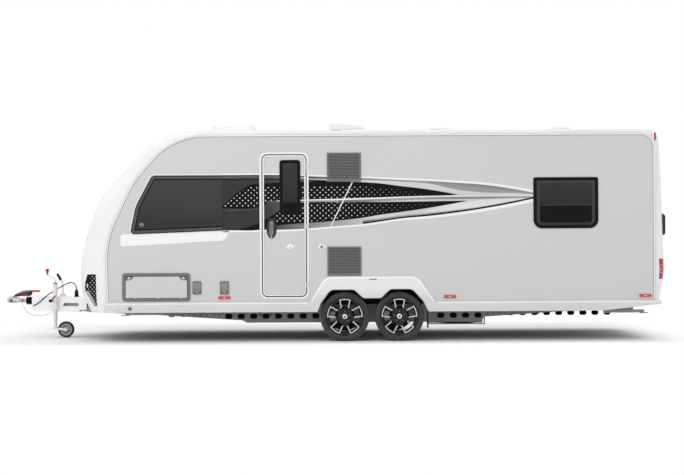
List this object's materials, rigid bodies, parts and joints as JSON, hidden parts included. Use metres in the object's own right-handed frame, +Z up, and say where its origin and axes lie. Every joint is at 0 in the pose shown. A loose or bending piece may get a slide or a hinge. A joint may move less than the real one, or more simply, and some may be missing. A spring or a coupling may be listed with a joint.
{
  "type": "travel caravan",
  "caption": "Travel caravan on close-set axles with a swept front, side entrance door, opening locker, corner steadies and jockey wheel.",
  "frame": {"origin": "on the ground under the middle of the overall length and width", "axes": "+Z up, -X towards the coupling, -Y towards the entrance door's side"},
  "size_m": [7.955, 2.45, 2.618],
  "materials": {
    "wall_skin": "satin light grey aluminium skin",
    "moulding": "gloss white moulding",
    "roof_skin": "satin white",
    "skirt": "satin pale grey",
    "rail": "white powder coat",
    "grey_plastic": "mid grey",
    "white_plastic": "white",
    "black_plastic": "black",
    "black_rubber": "black",
    "tyre": "black",
    "rim": "gloss black with bright edges",
    "galvanised": "galvanised",
    "axle_steel": "galvanised",
    "coupling_steel": "dark grey",
    "floor_board": "dark treated board",
    "window_glass": "dark tinted acrylic",
    "roof_light": "pale acrylic",
    "lamp_clear": "clear lens over a dark reflector",
    "lamp_red": "red and clear lens",
    "lamp_amber": "amber lens"
  },
  "bodies": {
    "body": {"chassis_frame": "galvanised", "axles": "axle_steel", "floor": "floor_board", "left_wall": "wall_skin", "right_wall": "wall_skin", "roof": "roof_skin", "front_panel": "moulding", "rear_panel": "moulding", "skirts": "skirt", "wheel_boxes": "black_plastic", "awning_rails": "rail", "windows": "window_glass", "door_frame": "rail", "locker_frame": "grey_plastic", "fridge_grilles": "grey_plastic", "service_flaps": "grey_plastic", "front_lamps": "lamp_clear", "rear_lamps": "lamp_red", "marker_lamps": "lamp_amber", "roof_lights": "roof_light", "aerial": "white_plastic", "coupling_head": "coupling_steel", "coupling_handle": "grey_plastic", "shaft_gaiter": "black_rubber", "drawbar_cover": "moulding", "handbrake_lever": "black_plastic", "jockey_tube": "galvanised", "tow_plug": "black_plastic", "tow_cable": "black_rubber", "breakaway_cable": "black_rubber", "spare_wheel": "tyre", "spare_carrier": "galvanised", "mudflaps": "black_rubber", "grab_handles": "black_plastic"},
    "door": {"door_leaf": "wall_skin", "door_window": "window_glass", "door_handle": "black_plastic"},
    "locker": {"locker_lid": "wall_skin"},
    "jockey_leg": {"jockey_leg": "galvanised"},
    "jockey_fork": {"jockey_fork": "galvanised"},
    "jockey_wheel": {"jockey_wheel": "black_rubber"},
    "left_front_wheel": {"left_front_tyre": "tyre", "left_front_rim": "rim"},
    "left_rear_wheel": {"left_rear_tyre": "tyre", "left_rear_rim": "rim"},
    "left_front_steady": {"left_front_steady": "galvanised"},
    "left_rear_steady": {"left_rear_steady": "galvanised"},
    "right_front_wheel": {"right_front_tyre": "tyre", "right_front_rim": "rim"},
    "right_rear_wheel": {"right_rear_tyre": "tyre", "right_rear_rim": "rim"},
    "right_front_steady": {"right_front_steady": "galvanised"},
    "right_rear_steady": {"right_rear_steady": "galvanised"}
  },
  "joints": [
    {"name": "door_hinge", "type": "hinge", "parent": "body", "child": "door", "pos_m": [-0.221, -1.212, 1.35], "axis": [0, 0, 1], "range_deg": [0, 170]},
    {"name": "locker_hinge", "type": "hinge", "parent": "body", "child": "locker", "pos_m": [-1.984, -1.207, 0.518], "axis": [1, 0, 0], "range_deg": [0, 110]},
    {"name": "jockey_slide", "type": "slide", "parent": "body", "child": "jockey_leg", "axis": [0, 0, 1], "range_m": [0, 0.06]},
    {"name": "jockey_swivel", "type": "hinge", "parent": "jockey_leg", "child": "jockey_fork", "pos_m": [-3.348, -0.172, 0.12], "axis": [0, 0, 1], "continuous": true},
    {"name": "jockey_spin", "type": "hinge", "parent": "jockey_fork", "child": "jockey_wheel", "pos_m": [-3.217, -0.172, 0.1], "axis": [0, 1, 0], "continuous": true},
    {"name": "left_front_spin", "type": "hinge", "parent": "body", "child": "left_front_wheel", "pos_m": [0.215, -1.085, 0.288], "axis": [0, 1, 0], "continuous": true},
    {"name": "left_rear_spin", "type": "hinge", "parent": "body", "child": "left_rear_wheel", "pos_m": [0.8535, -1.085, 0.288], "axis": [0, 1, 0], "continuous": true},
    {"name": "left_front_steady_hinge", "type": "hinge", "parent": "body", "child": "left_front_steady", "pos_m": [-1.95, -0.85, 0.322], "axis": [0, -1, 0], "range_deg": [0, 38]},
    {"name": "left_rear_steady_hinge", "type": "hinge", "parent": "body", "child": "left_rear_steady", "pos_m": [3.33, -0.85, 0.322], "axis": [0, 1, 0], "range_deg": [0, 38]},
    {"name": "right_front_spin", "type": "hinge", "parent": "body", "child": "right_front_wheel", "pos_m": [0.215, 1.085, 0.288], "axis": [0, 1, 0], "continuous": true},
    {"name": "right_rear_spin", "type": "hinge", "parent": "body", "child": "right_rear_wheel", "pos_m": [0.8535, 1.085, 0.288], "axis": [0, 1, 0], "continuous": true},
    {"name": "right_front_steady_hinge", "type": "hinge", "parent": "body", "child": "right_front_steady", "pos_m": [-1.95, 0.85, 0.322], "axis": [0, -1, 0], "range_deg": [0, 38]},
    {"name": "right_rear_steady_hinge", "type": "hinge", "parent": "body", "child": "right_rear_steady", "pos_m": [3.33, 0.85, 0.322], "axis": [0, 1, 0], "range_deg": [0, 38]}
  ]
}
